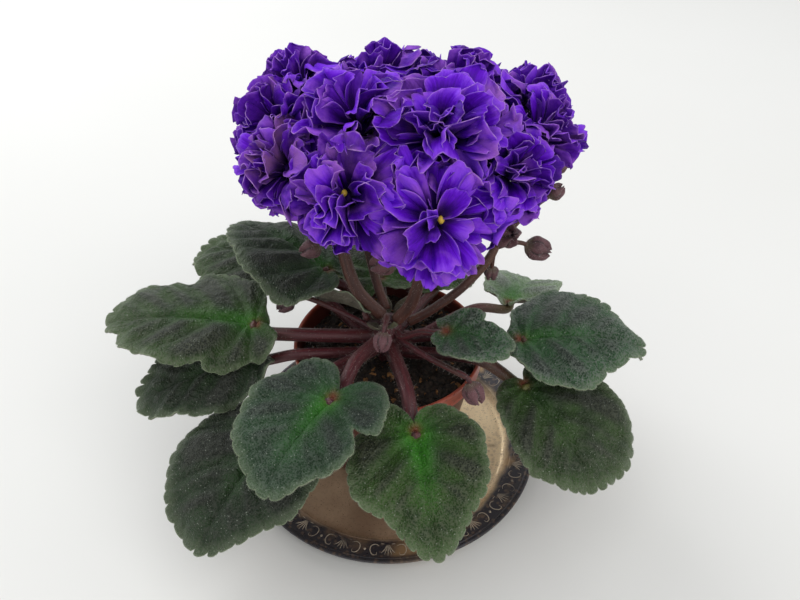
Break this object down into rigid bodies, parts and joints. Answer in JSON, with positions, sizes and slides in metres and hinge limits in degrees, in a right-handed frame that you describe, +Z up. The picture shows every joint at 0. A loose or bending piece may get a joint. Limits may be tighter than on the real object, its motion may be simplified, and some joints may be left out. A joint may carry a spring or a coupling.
{
  "type": "potted african violet",
  "caption": "African violet in full bloom: a dome of double ruffled flowers over a rosette of scalloped leaves, in a plain terracotta-coloured pot on an ornamented metal saucer",
  "frame": {"origin": "where the common axis of the pot and the saucer meets the surface that the saucer stands on", "axes": "+Z up along the axis of the pot; the front of the plant, as the picture shows it, looks along -Y; +X is to the viewer's right"},
  "size_m": [0.2541, 0.1997, 0.208],
  "materials": {
    "saucer": "aged satin",
    "pot": "satin terracotta colour",
    "soil": "damp potting soil",
    "stalk": "hairy maroon plant stalk",
    "leaf": "velvety green leaf",
    "bloom": "velvety violet-blue petal with pale rim"
  },
  "bodies": {
    "root": {"bloom_01": "bloom", "bloom_02": "bloom", "bloom_03": "bloom", "bloom_04": "bloom", "bloom_05": "bloom", "bloom_06": "bloom", "bloom_07": "bloom", "bloom_08": "bloom", "bloom_09": "bloom", "bloom_10": "bloom", "bloom_11": "bloom", "bloom_12": "bloom", "bloom_13": "bloom", "bloom_14": "bloom", "bloom_15": "bloom", "bloom_16": "bloom", "bud_stalk_center": "stalk", "bud_stalk_left": "stalk", "bud_stalk_right": "stalk", "crown": "stalk", "flower_stalk_back": "stalk", "flower_stalk_center": "stalk", "flower_stalk_left": "stalk", "flower_stalk_right": "stalk", "leaf_blade_back": "leaf", "leaf_blade_back_left": "leaf", "leaf_blade_back_right": "leaf", "leaf_blade_front": "leaf", "leaf_blade_front_left": "leaf", "leaf_blade_front_left_low": "leaf", "leaf_blade_left": "leaf", "leaf_blade_left_back": "leaf", "leaf_blade_left_back_low": "leaf", "leaf_blade_left_low": "leaf", "leaf_blade_right": "leaf", "leaf_blade_right_back": "leaf", "leaf_blade_right_low": "leaf", "leaf_blade_young_left": "leaf", "leaf_blade_young_right": "leaf", "leaf_stalk_back": "stalk", "leaf_stalk_back_left": "stalk", "leaf_stalk_back_right": "stalk", "leaf_stalk_front": "stalk", "leaf_stalk_front_left": "stalk", "leaf_stalk_front_left_low": "stalk", "leaf_stalk_left": "stalk", "leaf_stalk_left_back": "stalk", "leaf_stalk_left_back_low": "stalk", "leaf_stalk_left_low": "stalk", "leaf_stalk_right": "stalk", "leaf_stalk_right_back": "stalk", "leaf_stalk_right_low": "stalk", "leaf_stalk_young_left": "stalk", "leaf_stalk_young_right": "stalk", "pot": "pot", "saucer": "saucer", "soil": "soil"}
  },
  "joints": []
}
